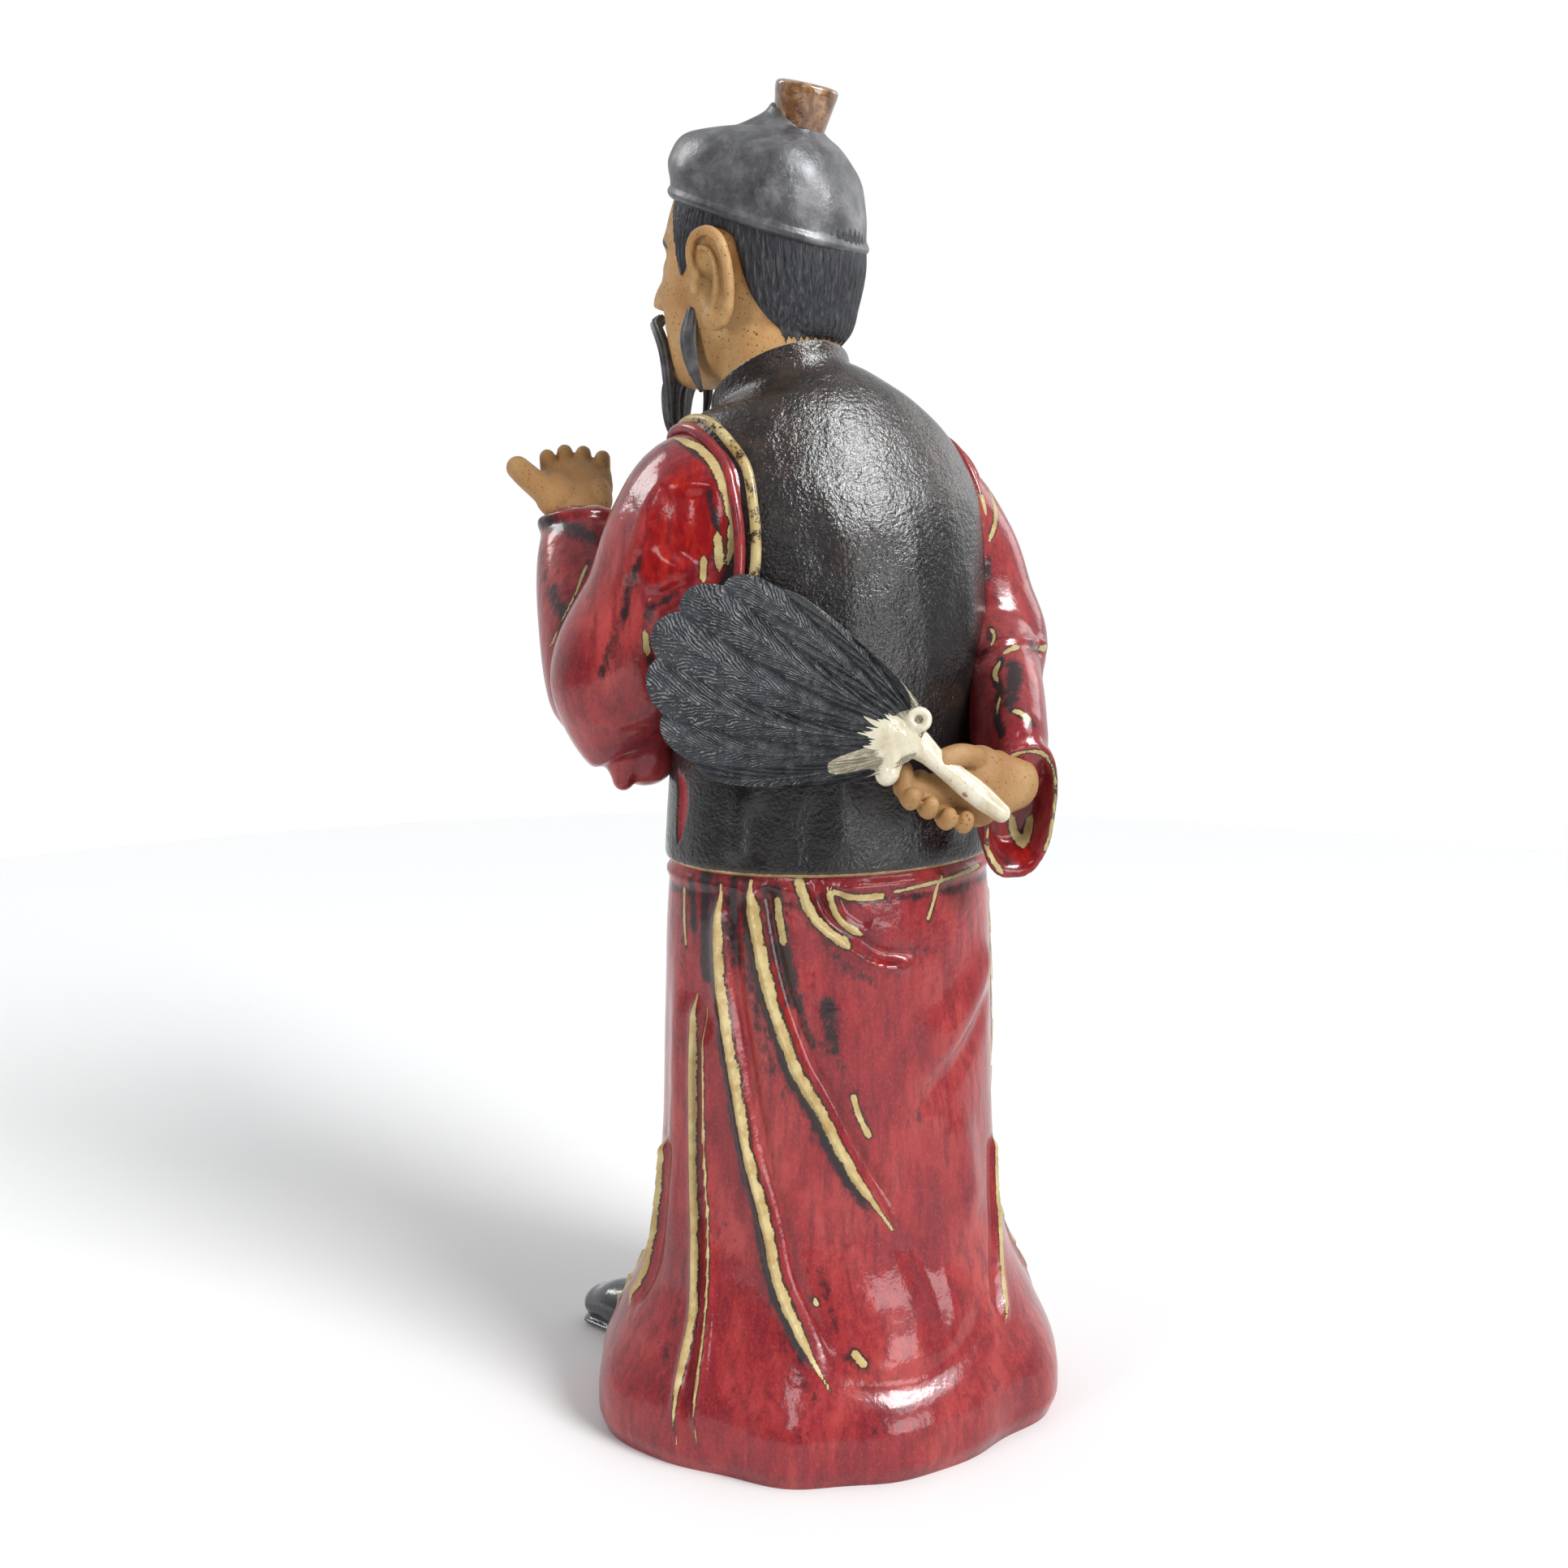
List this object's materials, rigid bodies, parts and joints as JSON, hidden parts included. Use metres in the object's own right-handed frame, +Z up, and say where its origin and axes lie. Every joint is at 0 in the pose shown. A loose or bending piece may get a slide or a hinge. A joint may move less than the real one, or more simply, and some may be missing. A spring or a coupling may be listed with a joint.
{
  "type": "scholar figurine",
  "caption": "Standing glazed stoneware figurine of a robed scholar looking over the left shoulder, one hand raised and a feather fan held behind the back.",
  "frame": {"origin": "on the flat underside, at the middle of the robe's foot", "axes": "+Z up; the figure faces -Y and its left side is +X"},
  "size_m": [0.1162, 0.1149, 0.3017],
  "materials": {
    "red_glaze": "glossy ox-blood glaze that breaks cream on its ridges",
    "black_glaze": "glossy black-brown glaze with an orange-peel surface",
    "bare_clay": "unglazed buff stoneware with dark specks",
    "matte_black": "dry black slip, burnished on the high places",
    "cream_glaze": "glossy cream glaze",
    "brown_glaze": "glossy honey-brown glaze"
  },
  "bodies": {
    "root": {"scholar_figurine": "red_glaze"}
  },
  "joints": []
}
